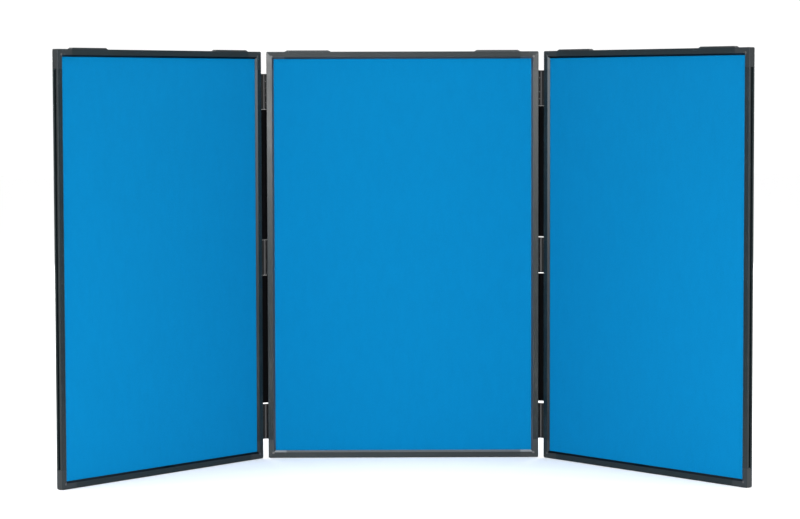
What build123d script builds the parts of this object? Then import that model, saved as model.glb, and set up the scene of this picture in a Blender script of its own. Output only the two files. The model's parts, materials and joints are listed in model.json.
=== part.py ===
from build123d import *
import os
from math import cos, sin, radians

# Three-panel folding display wall.  Millimetres, +Z up, the front faces -Y.
# The origin is the bottom centre of the whole wall's box, as it stands with its wings
# folded forward.

# ---- driving dimensions -------------------------------------------------------------
panel_width = 600.0
panel_height = 900.0
rail_size = 16.0            # width and depth of the frame section
corner_leg = 40.0           # reach of each moulded corner along both of its rails
wing_angle = 49.5           # how far each wing is folded forward from flat

bevel = 4.0                 # slope from the frame's flat face down to the fabric
outer_radius = 1.0          # soft outer edges of the rails
corner_radius = 3.0         # rounded corners of the panel outline

groove_mouth = 6.0          # T-groove along the outer side of every rail
groove_lip = 2.0
groove_width = 10.0
groove_floor = 6.5
channel_floor = 8.0         # the slot that holds the board starts this far in
channel_width = 7.2
chamber_start = 7.7         # hollow chambers that take the corner spigots
chamber_length = 3.6
chamber_depth = 2.0
chamber_offset = 5.9        # chamber centre from the mid-plane

board_edge = 8.6            # board and fabric stop this far from the panel's edge
board_thickness = 6.0
fabric_thickness = 0.5
board_clip = 8.0            # clipped board corners, clear of the corner screws

spigot_play = 0.1
spigot_reach = 20.0
screw_inset = 11.0          # corner screw from both outer edges
screw_radius = 1.5
screw_hole_radius = 1.55
screw_head_radius = 2.6
screw_head_depth = 1.2
screw_sink = 0.3            # head stays this far below the frame's face
screw_reach = 14.0
screw_socket_radius = 1.3
screw_socket_depth = 0.8

strip_length = 102.0        # raised header strips on the top rails
strip_width = 12.0
strip_rise = 3.0
strip_ramp = 6.0
strip_edge_radius = 0.8
strip_root_start = 2.15
strip_root_thickness = 3.0
socket_radius = 2.0
socket_depth = 7.0

axis_offset = 1.2           # hinge axis from the panel's side face
axis_spacing = 16.4         # between a hinge's two axes
hinge_height = 78.0
hinge_heights = {            # lower ends; hinges slide in the grooves and are set by hand
    "left": (42.0, 407.0, 773.5),
    "right": (42.0, 411.0, 780.0),
}
knuckle_radius = 2.7
pin_radius = 1.0
pin_play = 0.05
knuckle_count = 5
knuckle_gap = 0.2
link_thickness = 2.0
barrel_clearance = 0.25
leaf_root_width = 9.6
leaf_root_thickness = 3.6
leaf_root_start = 2.15
leaf_neck = 4.0
pin_end_gap = 0.5

# ---- places -------------------------------------------------------------------------
half_width = panel_width / 2
half_depth = rail_size / 2
half_angle = wing_angle / 2
side = {"left": -1, "right": 1}

# Hinge axes and wing centre, seen from above, from the middle panel's centre.
inner_axis_x = half_width + axis_offset
outer_axis_x = inner_axis_x + axis_spacing * cos(radians(half_angle))
outer_axis_y = -axis_spacing * sin(radians(half_angle))
wing_reach = axis_offset + half_width
wing_x = outer_axis_x + wing_reach * cos(radians(wing_angle))
wing_y = outer_axis_y - wing_reach * sin(radians(wing_angle))

# The wall's depth runs from the middle panel's back to the wings' rounded front corners.
wing_front = (wing_y - (half_width - outer_radius) * sin(radians(wing_angle))
              - (half_depth - outer_radius) * cos(radians(wing_angle)) - outer_radius)
middle_y = -(wing_front + half_depth) / 2

panel_planes = {
    "center": Plane((0, middle_y, 0)),
    "left": Plane((-wing_x, middle_y + wing_y, 0)).rotated((0, 0, wing_angle)),
    "right": Plane((wing_x, middle_y + wing_y, 0)).rotated((0, 0, -wing_angle)),
}


def on_panel(panel, plane):
    """The panel's own plane, carried to where that panel stands."""
    return Plane(panel_planes[panel].location * plane.location)


def front_view(panel, origin):
    """Plane looking out of a panel's front, with X along its width and Y up."""
    return on_panel(panel, Plane(origin, x_dir=(1, 0, 0), z_dir=(0, -1, 0)))


def link_plane(name, height):
    """Plane whose origin is the inner hinge axis and whose X runs to the outer axis."""
    where = (side[name] * inner_axis_x, middle_y, height)
    turn = -half_angle if name == "right" else 180 + half_angle
    return Plane(where).rotated((0, 0, turn))


def leaf_plane(panel, edge, height):
    """Plane on a panel's mid-plane at one side face, X pointing out of the panel."""
    frame = on_panel(panel, Plane((edge * half_width, 0, height)))
    return frame if edge > 0 else frame.rotated((0, 0, 180))


def save(name, part):
    part.label = name
    export_step(part, f"parts/{name}.step")


os.makedirs("parts", exist_ok=True)


# ---- extruded rails -----------------------------------------------------------------
def rail(panel, start, length):
    """A straight rail.  Its section's X runs in from the side face, Y is the depth."""
    nose = half_depth - bevel
    chamber_x = chamber_start + chamber_length / 2
    with BuildPart() as piece:
        with BuildSketch(on_panel(panel, start)) as section:
            with BuildLine():
                Polyline(
                    (0, groove_mouth / 2),
                    (0, half_depth),
                    (rail_size - bevel, half_depth),
                    (rail_size, nose),
                    (rail_size, channel_width / 2),
                    (channel_floor, channel_width / 2),
                    (channel_floor, -channel_width / 2),
                    (rail_size, -channel_width / 2),
                    (rail_size, -nose),
                    (rail_size - bevel, -half_depth),
                    (0, -half_depth),
                    (0, -groove_mouth / 2),
                    (groove_lip, -groove_mouth / 2),
                    (groove_lip, -groove_width / 2),
                    (groove_floor, -groove_width / 2),
                    (groove_floor, groove_width / 2),
                    (groove_lip, groove_width / 2),
                    (groove_lip, groove_mouth / 2),
                    close=True,
                )
            make_face()
            side_face = section.vertices().group_by(Axis.X)[0]
            fillet([side_face.sort_by(Axis.Y)[0], side_face.sort_by(Axis.Y)[-1]],
                   radius=outer_radius)
            with Locations((chamber_x, chamber_offset), (chamber_x, -chamber_offset)):
                Rectangle(chamber_length, chamber_depth, mode=Mode.SUBTRACT)
        extrude(amount=length)
    return piece.part


side_length = panel_height - 2 * corner_leg
bar_length = panel_width - 2 * corner_leg
rail_starts = {
    "left_rail": (Plane((-half_width, 0, corner_leg)), side_length),
    "right_rail": (Plane((half_width, 0, corner_leg), x_dir=(-1, 0, 0)), side_length),
    "bottom_rail": (Plane((-half_width + corner_leg, 0, 0), x_dir=(0, 0, 1),
                          z_dir=(1, 0, 0)), bar_length),
    "top_rail": (Plane((-half_width + corner_leg, 0, panel_height), x_dir=(0, 0, -1),
                       z_dir=(1, 0, 0)), bar_length),
}


# ---- moulded corners ----------------------------------------------------------------
def corner(panel, x_side, top):
    """L-shaped corner with its board slot, spigots and screw hole.

    It is drawn on the panel's front, from the panel's outer corner: X runs in along
    the width and Y along the height, towards the panel's middle.
    """
    origin = (x_side * half_width, 0, panel_height if top else 0)
    # Two of the four corners are drawn looking out of the front, two out of the back.
    front = 1 if (x_side < 0) != top else -1
    face = on_panel(panel, Plane(origin, x_dir=(-x_side, 0, 0), z_dir=(0, -front, 0)))
    screw_face = face.offset(front * half_depth)
    with BuildPart() as piece:
        with BuildSketch(face.offset(-half_depth)):
            Rectangle(corner_leg, corner_leg, align=(Align.MIN, Align.MIN))
            with Locations((rail_size, rail_size)):
                Rectangle(corner_leg, corner_leg, align=(Align.MIN, Align.MIN),
                          mode=Mode.SUBTRACT)
        extrude(amount=rail_size)
        fillet(outer_corner(piece.edges(), face), radius=corner_radius)
        chamfer(rims(piece.edges(), face, rail_size), length=bevel)
        fillet(rims(piece.edges(), face, 0), radius=outer_radius)
        with BuildSketch(face.offset(-channel_width / 2)):
            with Locations((channel_floor, channel_floor)):
                Rectangle(corner_leg, corner_leg, align=(Align.MIN, Align.MIN))
        extrude(amount=channel_width, mode=Mode.SUBTRACT)
        middle = chamber_start + chamber_length / 2
        thick = chamber_depth - 2 * spigot_play
        wide = chamber_length - 2 * spigot_play
        for depth in (-chamber_offset, chamber_offset):
            with BuildSketch(face.offset(depth - thick / 2)):
                with Locations((corner_leg, middle)):
                    Rectangle(spigot_reach, wide, align=(Align.MIN, Align.CENTER))
                with Locations((middle, corner_leg)):
                    Rectangle(wide, spigot_reach, align=(Align.CENTER, Align.MIN))
            extrude(amount=thick)
        with BuildSketch(screw_face):
            with Locations((screw_inset, screw_inset)):
                Circle(screw_hole_radius)
        extrude(amount=-front * (screw_reach + spigot_play), mode=Mode.SUBTRACT)
        with BuildSketch(screw_face):
            with Locations((screw_inset, screw_inset)):
                Circle(screw_head_radius + spigot_play)
        extrude(amount=-front * (screw_sink + screw_head_depth), mode=Mode.SUBTRACT)
    return piece.part


def outer_corner(edges, face):
    """The edge through the panel's outer corner, square to the face."""
    lines = edges.filter_by(GeomType.LINE)
    return lines.filter_by(lambda edge: in_plane_reach(face, edge) < 0.01)


def in_plane_reach(face, edge):
    spot = face.to_local_coords(edge.center())
    return max(abs(spot.X), abs(spot.Y))


def rims(edges, face, inset):
    """Front and back edges that run at one inset from the panel's outer edges."""
    near_rim = corner_radius / 2 if inset == 0 else 0.01
    picked = ShapeList()
    for edge in edges:
        spot = face.to_local_coords(edge.center())
        on_face = abs(abs(spot.Z) - half_depth) < 0.01
        at_leg_end = max(spot.X, spot.Y) > corner_leg - 0.01
        if on_face and not at_leg_end and abs(min(spot.X, spot.Y) - inset) < near_rim:
            picked.append(edge)
    return picked


corners = {
    "bottom_left_corner": (-1, False),
    "bottom_right_corner": (1, False),
    "top_left_corner": (-1, True),
    "top_right_corner": (1, True),
}


def corner_screws(panel):
    """Four clamp screws, each through a corner from the front."""
    front = front_view(panel, (0, -half_depth, panel_height / 2))
    spacing_x = panel_width - 2 * screw_inset
    spacing_z = panel_height - 2 * screw_inset
    with BuildPart() as screws:
        with BuildSketch(front.offset(-screw_sink)):
            with GridLocations(spacing_x, spacing_z, 2, 2):
                Circle(screw_head_radius)
        extrude(amount=-screw_head_depth)
        with BuildSketch(front.offset(-screw_sink - screw_head_depth)):
            with GridLocations(spacing_x, spacing_z, 2, 2):
                Circle(screw_radius)
        extrude(amount=-(screw_reach - screw_sink - screw_head_depth))
        with BuildSketch(front.offset(-screw_sink)):
            with GridLocations(spacing_x, spacing_z, 2, 2):
                RegularPolygon(screw_socket_radius, 6)
        extrude(amount=-screw_socket_depth, mode=Mode.SUBTRACT)
    return screws.part


# ---- board and fabric ---------------------------------------------------------------
def sheet_piece(panel, start, thickness):
    """A sheet with clipped corners, from start to start + thickness behind the front."""
    face = front_view(panel, (0, start, panel_height / 2))
    with BuildPart() as piece:
        with BuildSketch(face):
            Rectangle(panel_width - 2 * board_edge, panel_height - 2 * board_edge)
        extrude(amount=-thickness)
        clipped = [edge for edge in piece.edges().filter_by(GeomType.LINE)
                   if abs(edge.length - thickness) < 0.01]
        chamfer(clipped, length=board_clip)
    return piece.part


# ---- header strips ------------------------------------------------------------------
def header_strip(panel, x_side):
    """Raised strip on the top rail, held by a root in the rail's groove."""
    middle = x_side * (half_width - corner_leg - strip_length / 2)
    top = on_panel(panel, Plane((middle, 0, panel_height)))
    side_view = front_view(panel, (middle, 0, panel_height))
    half = strip_length / 2
    with BuildPart() as piece:
        with BuildSketch(side_view.offset(-strip_width / 2)):
            with BuildLine():
                Polyline((-half, 0), (-half + strip_ramp, strip_rise),
                         (half - strip_ramp, strip_rise), (half, 0), close=True)
            make_face()
        extrude(amount=strip_width)
        highest = piece.edges().group_by(Axis.Z)[-1]
        fillet(highest.sort_by(SortBy.LENGTH)[-2:], radius=strip_edge_radius)
        with BuildSketch(top):
            Rectangle(strip_length - 2 * strip_ramp, groove_mouth - spigot_play)
        extrude(amount=-strip_root_start)
        with BuildSketch(top.offset(-strip_root_start)):
            Rectangle(strip_length - 2 * strip_ramp, leaf_root_width)
        extrude(amount=-strip_root_thickness)
        with BuildSketch(top.offset(strip_rise)):
            Circle(socket_radius)
        extrude(amount=-socket_depth, mode=Mode.SUBTRACT)
    return piece.part


# ---- hinges -------------------------------------------------------------------------
knuckle_length = (hinge_height - (knuckle_count - 1) * knuckle_gap) / knuckle_count
knuckle_pitch = knuckle_length + knuckle_gap


def leaves(panel, edge, bottoms):
    """Three hinge leaves that slide into one side groove of a panel."""
    with BuildPart() as piece:
        for bottom in bottoms:
            with BuildSketch(leaf_plane(panel, edge, bottom)):
                with Locations((-leaf_root_start, 0)):
                    Rectangle(leaf_root_thickness, leaf_root_width,
                              align=(Align.MAX, Align.CENTER))
            extrude(amount=hinge_height)
            for index in range(0, knuckle_count, 2):
                height = bottom + index * knuckle_pitch
                with BuildSketch(leaf_plane(panel, edge, height)):
                    with Locations((axis_offset, 0)):
                        Circle(knuckle_radius)
                        Rectangle(axis_offset + leaf_root_start, leaf_neck,
                                  align=(Align.MAX, Align.CENTER))
                extrude(amount=knuckle_length)
            with BuildSketch(leaf_plane(panel, edge, bottom)):
                with Locations((axis_offset, 0)):
                    Circle(pin_radius + pin_play)
            extrude(amount=hinge_height, mode=Mode.SUBTRACT)
    return piece.part


def link(name, bottom):
    """Dog-bone link with two knuckles on each of its axes."""
    web_start = knuckle_radius + barrel_clearance
    with BuildPart() as piece:
        with BuildSketch(link_plane(name, bottom)):
            with Locations((axis_spacing / 2, 0)):
                Rectangle(axis_spacing - 2 * web_start, link_thickness)
        extrude(amount=hinge_height)
        for index in range(1, knuckle_count, 2):
            height = bottom + index * knuckle_pitch
            with BuildSketch(link_plane(name, height)):
                with Locations((0, 0), (axis_spacing, 0)):
                    Circle(knuckle_radius)
                with Locations((axis_spacing / 2, 0)):
                    Rectangle(axis_spacing, link_thickness)
            extrude(amount=knuckle_length)
        with BuildSketch(link_plane(name, bottom)):
            with Locations((0, 0), (axis_spacing, 0)):
                Circle(pin_radius + pin_play)
        extrude(amount=hinge_height, mode=Mode.SUBTRACT)
    return piece.part


def pins(name, bottoms):
    """Both hinge pins of each of a side's three links."""
    with BuildPart() as piece:
        for bottom in bottoms:
            with BuildSketch(link_plane(name, bottom + pin_end_gap)):
                with Locations((0, 0), (axis_spacing, 0)):
                    Circle(pin_radius)
            extrude(amount=hinge_height - 2 * pin_end_gap)
    return piece.part


# ---- gap strips ---------------------------------------------------------------------
def gap_strip(name, bottom, length):
    """Flat strip that closes the gap between two hinges, from axis to axis."""
    with BuildPart() as piece:
        with BuildSketch(link_plane(name, bottom)):
            with Locations((axis_spacing / 2, 0)):
                SlotCenterToCenter(axis_spacing, link_thickness)
        extrude(amount=length)
    return piece.part


# Each strip is cut a little short: (gap at its lower end, gap at its upper end).
strip_gaps = {
    "left_lower_gap_strip": (2.6, 0.3),
    "left_upper_gap_strip": (0.3, 0.3),
    "right_lower_gap_strip": (5.0, 1.6),
    "right_upper_gap_strip": (2.2, 0.3),
}


# ---- the wall -----------------------------------------------------------------------
for panel in panel_planes:
    for name, (start, length) in rail_starts.items():
        save(f"{panel}_{name}", rail(panel, start, length))
    for name, (x_side, top) in corners.items():
        save(f"{panel}_{name}", corner(panel, x_side, top))
    save(f"{panel}_corner_screws", corner_screws(panel))
    board_front = -board_thickness / 2
    save(f"{panel}_board", sheet_piece(panel, board_front, board_thickness))
    save(f"{panel}_front_fabric",
         sheet_piece(panel, board_front - fabric_thickness, fabric_thickness))
    save(f"{panel}_back_fabric", sheet_piece(panel, -board_front, fabric_thickness))
    save(f"{panel}_left_header_strip", header_strip(panel, -1))
    save(f"{panel}_right_header_strip", header_strip(panel, 1))

for name, sign in side.items():
    bottoms = hinge_heights[name]
    save(f"{name}_inner_hinge_leaves", leaves("center", sign, bottoms))
    save(f"{name}_outer_hinge_leaves", leaves(name, -sign, bottoms))
    save(f"{name}_hinge_pins", pins(name, bottoms))
    for level, bottom in zip(("bottom", "middle", "top"), bottoms):
        save(f"{name}_{level}_hinge_link", link(name, bottom))
    for level, below, above in (("lower", 0, 1), ("upper", 1, 2)):
        strip = f"{name}_{level}_gap_strip"
        low_gap, high_gap = strip_gaps[strip]
        low = bottoms[below] + hinge_height + low_gap
        save(strip, gap_strip(name, low, bottoms[above] - high_gap - low))
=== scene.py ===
import json
from math import cos, pi, radians, sin

import bmesh
import bpy
from mathutils import Matrix, Vector, noise


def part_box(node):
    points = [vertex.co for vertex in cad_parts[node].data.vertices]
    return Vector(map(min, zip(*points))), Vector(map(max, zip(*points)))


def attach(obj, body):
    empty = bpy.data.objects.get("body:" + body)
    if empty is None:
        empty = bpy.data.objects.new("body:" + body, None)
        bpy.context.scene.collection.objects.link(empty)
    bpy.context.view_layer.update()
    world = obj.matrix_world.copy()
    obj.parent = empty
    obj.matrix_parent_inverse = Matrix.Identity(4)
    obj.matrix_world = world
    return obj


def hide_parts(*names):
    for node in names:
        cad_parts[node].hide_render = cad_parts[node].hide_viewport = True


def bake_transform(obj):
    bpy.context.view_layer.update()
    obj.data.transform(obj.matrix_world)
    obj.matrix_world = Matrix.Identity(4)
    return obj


# Folding display wall: three framed fabric panels joined by double-axis hinges.
# Metres.  The CAD frame gives every place; this script gives surfaces and soft pieces.

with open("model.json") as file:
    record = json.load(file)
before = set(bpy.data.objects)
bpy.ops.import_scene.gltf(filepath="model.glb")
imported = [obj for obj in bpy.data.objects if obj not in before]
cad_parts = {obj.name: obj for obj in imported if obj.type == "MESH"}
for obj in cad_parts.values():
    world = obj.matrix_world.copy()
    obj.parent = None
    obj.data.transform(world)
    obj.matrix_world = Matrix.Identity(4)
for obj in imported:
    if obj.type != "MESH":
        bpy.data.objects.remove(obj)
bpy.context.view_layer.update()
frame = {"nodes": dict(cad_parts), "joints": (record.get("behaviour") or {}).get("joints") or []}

MM = 0.001
PANELS = {"center": "center", "left": "left_wing", "right": "right_wing"}    # panel: its body
SIDES = {"left": -1, "right": 1}
UP = Vector((0, 0, 1))


# ---- where things are ------------------------------------------------------------------
class Panel:
    """A panel's own axes: across its width, up, and out of its front."""

    def __init__(self, name):
        self.name = name
        # The board's largest face is square to the panel's front.
        board = frame["nodes"][f"{name}_board"].data
        widest = max(board.polygons, key=lambda face: face.area)
        self.front = widest.normal.copy()
        if self.front.y > 0:
            self.front.negate()
        self.across = UP.cross(self.front)
        self.width, middle_a = self.span(board, self.across)
        self.height, middle_u = self.span(board, UP)
        self.depth, middle_f = self.span(board, self.front)
        self.middle = self.across * middle_a + UP * middle_u + self.front * middle_f

    @staticmethod
    def span(mesh, axis):
        """A mesh's extent along axis, and the middle of it."""
        along = [vertex.co.dot(axis) for vertex in mesh.vertices]
        return max(along) - min(along), (max(along) + min(along)) / 2

    def at(self, across, up, out):
        """The point that lies so far from the board's middle."""
        return self.middle + self.across * across + UP * up + self.front * out

    # A chamfer's bare-metal tone is painted light: a painted highlight on the middle panel,
    # painted shade on the wings and on level rails.
    def painted_chamfer_tone(self, upright):
        return brightness(CHAMFER_TONE_PAINTED_LIGHT[self.name], 1.0 if upright else LEVEL_CHAMFER_PAINTED_SHADE_SHARE)


panels = {name: Panel(name) for name in PANELS}


def hinge_axes(side):
    """Places of a gap's two hinge axes, the middle panel's first."""
    places = {joint["name"]: Vector(joint["pos_m"]) for joint in frame["joints"]}
    return places[f"{side}_inner_hinge"], places[f"{side}_outer_hinge"]


# ---- shader helpers --------------------------------------------------------------------
MITRE_BLUR = 0.3 * MM           # half the width over which a corner's finish changes


class Shader:
    """A material with its node tree and short ways to add and join nodes."""

    def __init__(self, name):
        self.material = bpy.data.materials.new(name)
        self.material.use_nodes = True
        self.nodes = self.material.node_tree.nodes
        self.surface = self.nodes["Principled BSDF"]

    def add(self, kind, **values):
        node = self.nodes.new(kind)
        for key, value in values.items():
            setattr(node, key, value)
        return node

    def join(self, output, target):
        self.material.node_tree.links.new(output, target)

    def set(self, socket, value):
        self.surface.inputs[socket].default_value = value

    def place(self, scale=(1, 1, 1)):
        """Object coordinates, scaled."""
        source = self.add("ShaderNodeTexCoord")
        mapping = self.add("ShaderNodeMapping")
        mapping.inputs["Scale"].default_value = scale
        self.join(source.outputs["Object"], mapping.inputs["Vector"])
        return mapping.outputs["Vector"]

    def grain(self, size, stretch=(1, 1, 1), detail=2.0, roughness=0.5):
        """Noise whose features are about size across, in metres."""
        texture = self.add("ShaderNodeTexNoise")
        texture.inputs["Scale"].default_value = 1 / size
        texture.inputs["Detail"].default_value = detail
        texture.inputs["Roughness"].default_value = roughness
        self.join(self.place(stretch), texture.inputs["Vector"])
        return texture.outputs["Fac"]

    def cells(self, size):
        """Distance from the middles of cells about size across."""
        texture = self.add("ShaderNodeTexVoronoi")
        texture.inputs["Scale"].default_value = 1 / size
        self.join(self.place(), texture.inputs["Vector"])
        return texture.outputs["Distance"]

    def span(self, value, low, high, to_low=0.0, to_high=1.0):
        """Value from low..high carried to to_low..to_high, and clamped."""
        node = self.add("ShaderNodeMapRange")
        node.inputs["From Min"].default_value = low
        node.inputs["From Max"].default_value = high
        node.inputs["To Min"].default_value = to_low
        node.inputs["To Max"].default_value = to_high
        self.join(value, node.inputs["Value"])
        return node.outputs["Result"]

    def mix(self, factor, first, second):
        """Colour mix; first and second are colours or sockets."""
        node = self.add("ShaderNodeMix", data_type="RGBA")
        self.join(factor, node.inputs["Factor"])
        for socket, value in ((node.inputs[6], first), (node.inputs[7], second)):
            if isinstance(value, tuple):
                socket.default_value = (*value, 1)
            else:
                self.join(value, socket)
        return node.outputs[2]

    def math(self, operation, first, second):
        """One calculation; first and second are numbers or sockets."""
        node = self.add("ShaderNodeMath", operation=operation)
        for socket, value in zip(node.inputs, (first, second)):
            if isinstance(value, (int, float)):
                socket.default_value = value
            else:
                self.join(value, socket)
        return node.outputs[0]

    def off_centre(self, direction, centre):
        """How far the surface lies from a plane through centre, square to direction."""
        source = self.add("ShaderNodeTexCoord")
        dot = self.add("ShaderNodeVectorMath", operation="DOT_PRODUCT")
        self.join(source.outputs["Object"], dot.inputs[0])
        dot.inputs[1].default_value = direction
        apart = self.math("SUBTRACT", dot.outputs["Value"], centre.dot(direction))
        return self.math("ABSOLUTE", apart, 0.0)

    def chamfer(self, panel):
        """1 on the faces that slope between a panel's front or back and its edges.

        Facing is 1 on the front and back, 0 on the edges and about 0.7 on a slope.
        """
        source = self.add("ShaderNodeTexCoord")
        dot = self.add("ShaderNodeVectorMath", operation="DOT_PRODUCT")
        self.join(source.outputs["Normal"], dot.inputs[0])
        dot.inputs[1].default_value = panel.front
        facing = self.math("ABSOLUTE", dot.outputs["Value"], 0.0)
        return self.math("MULTIPLY", self.span(facing, 0.50, 0.60), self.span(facing, 0.92, 0.84))

    def upright_arm(self, panel):
        """1 on a corner's upright arm and 0 on its level arm, changing at the mitre."""
        past_side = self.math("SUBTRACT", self.off_centre(panel.across, panel.middle),
                              panel.width / 2)
        past_end = self.math("SUBTRACT", self.off_centre(UP, panel.middle), panel.height / 2)
        return self.span(self.math("SUBTRACT", past_side, past_end), -MITRE_BLUR, MITRE_BLUR)

    def polish(self, mask, tone, bright, rough, smooth):
        """Join tone and rough to the surface, and bare smooth metal where mask is 1."""
        self.join(self.mix(mask, tone, bright), self.surface.inputs["Base Color"])
        self.join(mask, self.surface.inputs["Metallic"])
        kept = self.math("MULTIPLY", rough, self.span(mask, 0, 1, 1, 0))
        self.join(self.math("ADD", kept, self.span(mask, 0, 1, 0, smooth)),
                  self.surface.inputs["Roughness"])

    def bump(self, height, distance, strength):
        node = self.add("ShaderNodeBump")
        node.inputs["Distance"].default_value = distance
        node.inputs["Strength"].default_value = strength
        self.join(height, node.inputs["Height"])
        self.join(node.outputs["Normal"], self.surface.inputs["Normal"])

    def edges(self, radius):
        """0 on flats, rising to 1 on edges, where tone is lightened for wear and as a painted
        highlight.
        """
        soft = self.add("ShaderNodeBevel", samples=4)
        soft.inputs["Radius"].default_value = radius
        flat = self.add("ShaderNodeNewGeometry")
        dot = self.add("ShaderNodeVectorMath", operation="DOT_PRODUCT")
        self.join(soft.outputs["Normal"], dot.inputs[0])
        self.join(flat.outputs["Normal"], dot.inputs[1])
        return self.span(dot.outputs["Value"], 0.995, 0.90)


def brightness(colour, factor):
    return tuple(channel * factor for channel in colour)


# ---- materials -------------------------------------------------------------------------
FRAME_GREY = (0.0045, 0.0090, 0.0105)
PLASTIC_GREY = (0.0075, 0.0110, 0.0125)
HINGE_GREY = (0.0045, 0.0048, 0.0052)
# Darker than vinyl's own black: painted shade in the gaps between the panels.
VINYL_BLACK_AND_SHADE = (0.0008, 0.0008, 0.0010)
FABRIC_BLUE = (0.0007, 0.124, 0.288)
STEEL = (0.42, 0.42, 0.43)
# Chamfer tones are painted light: the middle panel's are bright as a painted highlight, the
# wings' dark as painted shade.
CHAMFER_TONE_PAINTED_LIGHT = {"center": (0.105, 0.115, 0.125), "left": (0.020, 0.024, 0.027),
                "right": (0.020, 0.024, 0.027)}
LEVEL_CHAMFER_PAINTED_SHADE_SHARE = 0.55      # a level chamfer's tone, as a share of an upright one's: painted shade on the level rails' chamfers
# A painted highlight: a pale line up each hinge link's web, standing in for its glossy
# reflection.
PAINTED_HIGHLIGHT_GREY = (0.048, 0.047, 0.047)
PAINTED_HIGHLIGHT_HALF_WIDTH = 1.5 * MM      # the painted highlight line up each hinge link's web
PAINTED_HIGHLIGHT_BLUR = 0.3 * MM
PAINTED_HIGHLIGHT_PLACE = 1 / 3              # of the way from the inner axis to the outer one


def extruded_rail(name, panel, upright, roughness):
    """Satin coated aluminium, with drawn lines along the rail, edges lightened for wear and as a
    painted highlight, and a chamfer whose brighter tone is painted light.
    """
    shader = Shader(name)
    along = 0.01
    stretch = (1, 1, along) if upright else (along, along, 1)
    lines = shader.grain(0.5 * MM, stretch, detail=3)
    haze = shader.grain(60 * MM, detail=3)
    coat = shader.grain(0.25 * MM, detail=1)
    # Edges lightened partly for wear and partly as a painted highlight.
    worn_and_highlight = shader.math("MULTIPLY", shader.edges(0.5 * MM), shader.grain(9 * MM, detail=4))
    tone = shader.mix(shader.span(haze, 0.3, 0.7), brightness(FRAME_GREY, 0.90),
                      brightness(FRAME_GREY, 1.10))
    tone = shader.mix(shader.span(worn_and_highlight, 0.35, 0.65, 0, 0.5), tone,
                      brightness(FRAME_GREY, 3.0))
    rough = shader.math("ADD", shader.span(haze, 0.3, 0.7, -0.03, 0.03),
                        shader.span(lines, 0.3, 0.7, roughness, roughness + 0.08))
    # The chamfer's bare-metal tone is painted light, a painted highlight or painted shade by
    # panel.
    shader.polish(shader.chamfer(panel), tone, panel.painted_chamfer_tone(upright), rough, 0.30)
    height = shader.math("ADD", lines, shader.math("MULTIPLY", coat, 0.6))
    shader.bump(height, 0.02 * MM, 0.6)
    shader.set("Specular IOR Level", 0.26)
    # The drawn lines spread a highlight across the rail, whichever way the rail runs.
    shader.set("Anisotropic", 0.8)
    shader.set("Anisotropic Rotation", 0.0 if upright else 0.25)
    return shader.material


def moulded(name, colour, grain_size, roughness, gloss, rub_and_highlight, panel=None, line=None):
    """Moulded plastic with a fine spark-eroded grain, and edges lightened for wear and as a
    painted highlight, up to rub_and_highlight times as bright.

    A panel's corners also have its rails' chamfer, whose tone is painted light, and a duller
    level arm.  A hinge link has a painted highlight, a pale line up its web; line is the link's
    direction and a point on the line.
    """
    shader = Shader(name)
    grain = shader.grain(grain_size, detail=3, roughness=0.6)
    flow = shader.grain(25 * MM, detail=2)
    # Edges lightened partly for wear and partly as a painted highlight.
    rubbed_and_highlight = shader.math("MULTIPLY", shader.edges(0.6 * MM), shader.grain(5 * MM, detail=4))
    tone = shader.mix(shader.span(flow, 0.3, 0.7), brightness(colour, 0.9),
                      brightness(colour, 1.12))
    tone = shader.mix(shader.span(rubbed_and_highlight, 0.3, 0.6, 0, 0.5), tone, brightness(colour, rub_and_highlight))
    # Painted highlight: a pale stripe up the link's web.
    if line:
        direction, centre = line
        away = shader.off_centre(direction.normalized(), centre)
        pale = shader.span(away, PAINTED_HIGHLIGHT_HALF_WIDTH, PAINTED_HIGHLIGHT_HALF_WIDTH + PAINTED_HIGHLIGHT_BLUR, 1, 0)
        tone = shader.mix(pale, tone, PAINTED_HIGHLIGHT_GREY)
    rough = shader.span(flow, 0.3, 0.7, roughness - 0.04, roughness + 0.04)
    if panel:
        rough = shader.math("ADD", rough, shader.span(shader.upright_arm(panel), 0, 1, 0.24, 0))
        # The corner's chamfer takes the rails' painted-light tone.
        shader.polish(shader.chamfer(panel), tone, panel.painted_chamfer_tone(True), rough, 0.30)
    else:
        shader.join(tone, shader.surface.inputs["Base Color"])
        shader.join(rough, shader.surface.inputs["Roughness"])
    shader.bump(grain, 0.05 * MM, 0.5)
    shader.set("Specular IOR Level", gloss)
    return shader.material


def loop_nylon(name):
    """Brushed loop nylon: small matted loops, a soft nap and faint uneven brushing."""
    shader = Shader(name)
    loops = shader.cells(0.9 * MM)
    fuzz = shader.grain(0.35 * MM, detail=3, roughness=0.7)
    nap = shader.grain(14 * MM, (1, 1, 0.35), detail=4, roughness=0.6)
    drift = shader.grain(160 * MM, detail=2)
    pile = shader.math("ADD", shader.span(loops, 0.0, 0.6, 1.0, 0.0),
                       shader.math("MULTIPLY", fuzz, 0.8))
    tone = shader.mix(shader.span(pile, 0.3, 1.5), brightness(FABRIC_BLUE, 0.80),
                      brightness(FABRIC_BLUE, 1.14))
    tone = shader.mix(shader.span(nap, 0.35, 0.65, 0, 0.20), tone,
                      brightness(FABRIC_BLUE, 1.08))
    tone = shader.mix(shader.span(drift, 0.35, 0.65, 0, 0.15), tone,
                      brightness(FABRIC_BLUE, 0.92))
    shader.join(tone, shader.surface.inputs["Base Color"])
    shader.set("Roughness", 0.9)
    shader.set("Specular IOR Level", 0.03)
    shader.set("Sheen Weight", 0.06)
    shader.set("Sheen Roughness", 0.45)
    shader.set("Sheen Tint", (0.02, 0.45, 0.90, 1))
    shader.bump(pile, 0.35 * MM, 0.55)
    return shader.material


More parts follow.
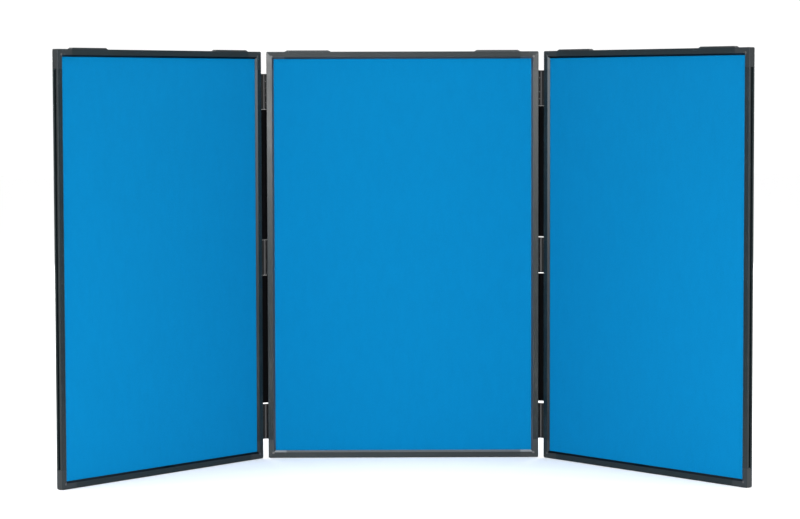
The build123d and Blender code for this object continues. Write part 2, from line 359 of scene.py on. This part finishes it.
def vinyl(name):
    """Soft black vinyl strip with faint extrusion lines, its black darkened further and its gloss
    lowered as painted shade for the deep gap between the panels.
    """
    shader = Shader(name)
    lines = shader.grain(0.6 * MM, (1, 1, 0.02), detail=2)
    dust = shader.grain(4 * MM, detail=4)
    tone = shader.mix(shader.span(dust, 0.4, 0.75), VINYL_BLACK_AND_SHADE, brightness(VINYL_BLACK_AND_SHADE, 2.2))
    shader.join(tone, shader.surface.inputs["Base Color"])
    shader.join(shader.span(lines, 0.3, 0.7, 0.50, 0.62), shader.surface.inputs["Roughness"])
    shader.set("Specular IOR Level", 0.02)
    shader.bump(lines, 0.04 * MM, 0.4)
    return shader.material


def plated_steel(name, tint, roughness):
    """Plated steel with fine turning marks."""
    shader = Shader(name)
    marks = shader.grain(0.3 * MM, detail=3)
    tone = shader.mix(shader.span(marks, 0.3, 0.7), brightness(tint, 0.85), tint)
    shader.join(tone, shader.surface.inputs["Base Color"])
    shader.join(shader.span(marks, 0.3, 0.7, roughness - 0.06, roughness + 0.06),
                shader.surface.inputs["Roughness"])
    shader.set("Metallic", 1.0)
    shader.bump(marks, 0.01 * MM, 0.4)
    return shader.material


def fibre_board(name):
    """Pale fibre core, seen only through the corners' slots."""
    shader = Shader(name)
    fibres = shader.grain(1.5 * MM, detail=5)
    tone = shader.mix(shader.span(fibres, 0.3, 0.7), (0.30, 0.24, 0.17), (0.46, 0.38, 0.28))
    shader.join(tone, shader.surface.inputs["Base Color"])
    shader.set("Roughness", 0.85)
    return shader.material


def make_materials():
    """Every material by its short name; links and frames have one for each side or panel."""
    made = {
        "header": moulded("moulded_header", PLASTIC_GREY, 0.5 * MM, 0.48, 0.4, 2.0),
        "hinge": moulded("moulded_hinge", HINGE_GREY, 0.4 * MM, 0.20, 0.12, 6.0),
        "fabric": loop_nylon("loop_nylon"),
        "vinyl": vinyl("black_vinyl"),
        "screw": plated_steel("zinc_screw", brightness(STEEL, 0.34), 0.60),
        "pin": plated_steel("steel_pin", STEEL, 0.25),
        "board": fibre_board("fibre_board"),
    }
    for side in SIDES:
        inner, outer = hinge_axes(side)
        # Where each link's painted highlight runs.
        line = (outer - inner, inner.lerp(outer, PAINTED_HIGHLIGHT_PLACE))
        made[f"{side}_link"] = moulded(f"{side}_moulded_link", HINGE_GREY, 0.4 * MM,
                                       0.20, 0.12, 6.0, line=line)
    for name, panel in panels.items():
        made[f"{name}_upright"] = extruded_rail(f"{name}_rail_upright", panel, True, 0.22)
        made[f"{name}_level"] = extruded_rail(f"{name}_rail_level", panel, False, 0.42)
        made[f"{name}_corner"] = moulded(f"{name}_moulded_corner", PLASTIC_GREY, 0.5 * MM,
                                         0.31, 0.34, 2.0, panel)
    return made


materials = make_materials()


def material_for(node):
    """Which material a CAD node takes, from its name."""
    panel = node.split("_")[0]
    if node.endswith(("_top_rail", "_bottom_rail")):
        return f"{panel}_level"
    if node.endswith("_rail"):
        return f"{panel}_upright"
    if node.endswith(("_corner", "_link")):
        return f"{panel}_{node.split('_')[-1]}"
    for ending, material in (("_screws", "screw"), ("_board", "board"),
                             ("_gap_strip", "vinyl"), ("_header_strip", "header"),
                             ("_pins", "pin"), ("_fabric", "fabric")):
        if node.endswith(ending):
            return material
    return "hinge"


def shade_frame():
    for name, node in frame["nodes"].items():
        node.data.materials.clear()
        node.data.materials.append(materials[material_for(name)])


# ---- mesh helpers ----------------------------------------------------------------------
def new_piece(name, points, faces, material):
    """A mesh piece with its faces turned outwards, smooth except over its sharp edges."""
    shape = bmesh.new()
    corners = [shape.verts.new(point) for point in points]
    for face in faces:
        shape.faces.new([corners[index] for index in face])
    bmesh.ops.recalc_face_normals(shape, faces=shape.faces)
    mesh = bpy.data.meshes.new(name)
    shape.to_mesh(mesh)
    shape.free()
    mesh.shade_smooth()
    mesh.set_sharp_from_angle(angle=radians(35))
    mesh.materials.append(material)
    piece = bpy.data.objects.new(name, mesh)
    bpy.context.scene.collection.objects.link(piece)
    return piece


def grid_faces(columns, rows):
    """Quads of a grid whose points run along each row first."""
    return [(row * columns + column, row * columns + column + 1,
             (row + 1) * columns + column + 1, (row + 1) * columns + column)
            for row in range(rows - 1) for column in range(columns - 1)]


# ---- fabric ----------------------------------------------------------------------------
FABRIC_STEP = 5 * MM
FABRIC_THICKNESS = 0.4 * MM
FABRIC_CLIP = 8 * MM            # the board's corners are clipped by this much
FABRIC_CLEARANCE = 0.02 * MM    # between the board and the fabric
RIPPLE = 0.12 * MM              # how far the bonded fabric wanders from flat
RIPPLES_ACROSS = 18             # noise cells per metre
RIPPLES_UP = 11
FACE_SHIFT = 3.7                # gives the two faces different ripples


def fabric_face(name, panel, facing):
    """One fabric sheet, bonded to the board's front (facing 1) or back (facing -1)."""
    columns = round(panel.width / FABRIC_STEP) + 1
    rows = round(panel.height / FABRIC_STEP) + 1
    half_width, half_height = panel.width / 2, panel.height / 2
    points = []
    for row in range(rows):
        for column in range(columns):
            across = (column / (columns - 1) * 2 - 1) * half_width
            up = (row / (rows - 1) * 2 - 1) * half_height
            cut = FABRIC_CLIP - (half_width - abs(across)) - (half_height - abs(up))
            if cut > 0:
                across -= cut / 2 * (1 if across > 0 else -1)
                up -= cut / 2 * (1 if up > 0 else -1)
            spot = (across * RIPPLES_ACROSS, up * RIPPLES_UP, facing * FACE_SHIFT)
            wander = noise.noise(Vector(spot))
            out = panel.depth / 2 + FABRIC_CLEARANCE + RIPPLE * (1 + wander) / 2
            points.append(panel.at(across, up, facing * out))
    faces = grid_faces(columns, rows)
    if facing < 0:
        faces = [face[::-1] for face in faces]
    piece = new_piece(name, points, faces, materials["fabric"])
    thicken = piece.modifiers.new("cloth", "SOLIDIFY")
    thicken.thickness = FABRIC_THICKNESS
    thicken.offset = 1.0
    return piece


def make_fabrics():
    for name, body in PANELS.items():
        for face, facing in (("front", 1), ("back", -1)):
            node = f"{name}_{face}_fabric"
            piece = fabric_face(f"{name}_{face}_cloth", panels[name], facing)
            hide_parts(node)
            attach(piece, body)


# ---- gap strips ------------------------------------------------------------------------
AXIS_TO_SIDE = 1.2 * MM         # from a hinge axis to the panel's side face
GROOVE_LIP = 2.0 * MM
BEAD_PLAY = 0.35 * MM           # from the lip's back to the bead
BEAD_THICKNESS = 1.8 * MM
BEAD_HALF_WIDTH = 4.2 * MM
NECK_HALF = 0.9 * MM
WEB_HALF = 0.75 * MM
RIB_RISE = 0.16 * MM            # fine ribs on both faces of the web
RIB_PITCH = 1.37 * MM
FOLD_HALF = 0.5 * MM            # thinned fold line at the hinge axis
FOLD_REACH = 0.9 * MM
NECK_FLARE = 0.3 * MM           # slope between the bead and the neck
BEAD_STEPS = 8
WEB_STEPS = 72
STRIP_ROWS = 9


def eased(share):
    """Share from 0 to 1 with a smooth start and end."""
    return share * share * (3 - 2 * share)


def strip_half_thickness(along):
    """Half the strip's thickness, at a distance from the hinge axis away from the panel."""
    if along < -AXIS_TO_SIDE:
        return NECK_HALF
    ribbed = WEB_HALF + RIB_RISE * (1 - cos(2 * pi * along / RIB_PITCH)) / 2
    fold = max(0.0, 1 - abs(along) / FOLD_REACH)
    return ribbed + (FOLD_HALF - ribbed) * eased(fold)


def strip_outline(reach):
    """One face of half a strip's section: (along, out) from its bead to the strip's middle."""
    neck_start = -AXIS_TO_SIDE - GROOVE_LIP - BEAD_PLAY
    bead_back = neck_start - BEAD_THICKNESS
    corner = BEAD_THICKNESS / 2
    outline = [(bead_back, 0.0)]
    for step in range(BEAD_STEPS + 1):
        angle = pi * step / BEAD_STEPS
        outline.append((bead_back + corner - corner * cos(angle),
                        BEAD_HALF_WIDTH - corner + corner * sin(angle)))
    outline.append((neck_start, NECK_HALF + NECK_FLARE))
    web_start = neck_start + NECK_FLARE
    outline.append((web_start, NECK_HALF))
    for step in range(1, WEB_STEPS + 1):
        along = web_start + (reach - web_start) * step / WEB_STEPS
        outline.append((along, strip_half_thickness(along)))
    return outline


def half_strip(name, axis, outward, away, reach, low, high):
    """Half of a flexible strip, from its bead in a panel's groove to the strip's middle.

    axis is the hinge axis that it folds on; outward points out of the panel's side, and
    away points from the axis to the strip's middle.
    """
    face = strip_outline(reach)
    section = face + [(along, -out) for along, out in face[:0:-1]]
    across = UP.cross(outward)
    turn = -outward.to_2d().angle_signed(away.to_2d())
    ring = []
    for along, out in section:
        share = min(1.0, max(0.0, (along + FOLD_REACH) / (2 * FOLD_REACH)))
        bend = Matrix.Rotation(turn * eased(share), 3, "Z")
        ring.append(bend @ (outward * along + across * out))
    points = []
    for row in range(STRIP_ROWS):
        height = low + (high - low) * row / (STRIP_ROWS - 1)
        points += [Vector((axis.x + spot.x, axis.y + spot.y, height)) for spot in ring]
    count = len(section)
    faces = [(row * count + spot, row * count + (spot + 1) % count,
              (row + 1) * count + (spot + 1) % count, (row + 1) * count + spot)
             for row in range(STRIP_ROWS - 1) for spot in range(count)]
    for first in (0, (STRIP_ROWS - 1) * count):
        faces.append((first, first + 1, first + count - 1))
        faces += [(first + spot, first + spot + 1, first + count - spot - 1,
                   first + count - spot) for spot in range(1, len(face) - 1)]
    return new_piece(name, points, faces, materials["vinyl"])


def make_gap_strips():
    for side, left_or_right in SIDES.items():
        inner, outer = hinge_axes(side)
        middle = (inner + outer) / 2
        ends = (("inner", inner, "center", panels["center"].across * left_or_right),
                ("outer", outer, f"{side}_wing", panels[side].across * -left_or_right))
        for level in ("lower", "upper"):
            node = f"{side}_{level}_gap_strip"
            low, high = (corner.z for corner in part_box(node))
            for end, axis, body, outward in ends:
                away = (middle - axis).normalized()
                piece = half_strip(f"{node}_{end}_half", axis, outward, away,
                                   (middle - axis).length, low, high)
                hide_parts(node)
                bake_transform(piece)


# ---- stage, light and camera -----------------------------------------------------------
FLOOR_REACH = 20.0
FLOOR_DROP = 0.5 * MM           # keeps the floor clear of the panels' undersides
ROOM_BRIGHTNESS = 1.04
FRAME_HALF_DEPTH = 8 * MM
CAMERA_ASIDE = -0.032           # from the middle panel's centre line
CAMERA_AWAY = 5.703             # from the middle panel's front
CAMERA_HEIGHT = 0.811
CAMERA_LENS = 116.2             # millimetres, on a sensor 36 wide
CAMERA_TILT = radians(3.712)    # downwards
CAMERA_TURN = radians(0.256)
CAMERA_ROLL = radians(-0.147)


def lay_floor():
    """A wide, plain pale floor that runs out into the white room."""
    points = [Vector((x, y, -FLOOR_DROP)) for y in (-FLOOR_REACH, FLOOR_REACH)
              for x in (-FLOOR_REACH, FLOOR_REACH)]
    shader = Shader("pale_floor")
    shader.set("Base Color", (0.96, 0.96, 0.96, 1))
    shader.set("Roughness", 0.9)
    shader.set("Specular IOR Level", 0.1)
    new_piece("floor", points, grid_faces(2, 2), shader.material)


def soft_light(name, place, target, size, power, mirrored=True):
    """A rectangular softbox; mirrored says whether glossy surfaces show it."""
    data = bpy.data.lights.new(name, "AREA")
    data.shape = "RECTANGLE"
    data.size, data.size_y = size
    data.energy = power
    lamp = bpy.data.objects.new(name, data)
    lamp.visible_glossy = mirrored
    lamp.location = place
    lamp.rotation_euler = (Vector(target) - Vector(place)).to_track_quat("-Z", "Y").to_euler()
    bpy.context.scene.collection.objects.link(lamp)


def light_studio():
    """Softboxes around and above the wall, in a bright white room."""
    world = bpy.context.scene.world or bpy.data.worlds.new("world")
    bpy.context.scene.world = world
    world.use_nodes = True
    background = world.node_tree.nodes["Background"]
    background.inputs["Color"].default_value = (1, 1, 1, 1)
    background.inputs["Strength"].default_value = ROOM_BRIGHTNESS
    soft_light("near_left", (-0.8, -6.9, 1.13), (0, 0, 0.7), (1.0, 1.7), 190)
    soft_light("near_right", (0.8, -6.9, 1.4), (0, 0, 0.7), (1.0, 1.3), 32)
    soft_light("right_wide", (3.4, -5.8, 1.3), (0, 0, 0.6), (1.6, 2.0), 33)
    soft_light("left_side", (-4.6, -2.6, 0.9), (0, 0, 0.35), (1.6, 1.5), 33)
    soft_light("right_side", (4.6, -2.6, 0.9), (0, 0, 0.35), (1.6, 1.5), 22)
    soft_light("overhead", (0, -0.3, 3.6), (0, -0.3, 0), (3.0, 2.4), 65)
    # A low strip for the fabrics' lower halves, which the rails don't mirror.
    soft_light("foot", (0, -1.45, 0.05), (0, 0, 0.05), (1.6, 0.06), 18, mirrored=False)
    soft_light("back_left", (-2.8, 6.0, 1.6), (0, 0, 0.5), (1.6, 2.0), 190)
    soft_light("back_right", (2.8, 6.0, 1.6), (0, 0, 0.5), (1.6, 2.0), 190)


def aim_camera():
    """Long lens, just below the wall's top and looking slightly down."""
    data = bpy.data.cameras.new("camera")
    data.sensor_width = 36.0
    data.lens = CAMERA_LENS
    camera = bpy.data.objects.new("camera", data)
    front = panels["center"].at(0, 0, 0).y - FRAME_HALF_DEPTH
    camera.location = (CAMERA_ASIDE, front - CAMERA_AWAY, CAMERA_HEIGHT)
    camera.rotation_euler = (Matrix.Rotation(-CAMERA_TURN, 3, "Z")
                             @ Matrix.Rotation(pi / 2 - CAMERA_TILT, 3, "X")
                             @ Matrix.Rotation(CAMERA_ROLL, 3, "Z")).to_euler()
    bpy.context.scene.collection.objects.link(camera)
    bpy.context.scene.camera = camera


shade_frame()
make_fabrics()
make_gap_strips()
lay_floor()
light_studio()
aim_camera()
bpy.context.scene.view_settings.view_transform = "Standard"

bpy.context.view_layer.update()
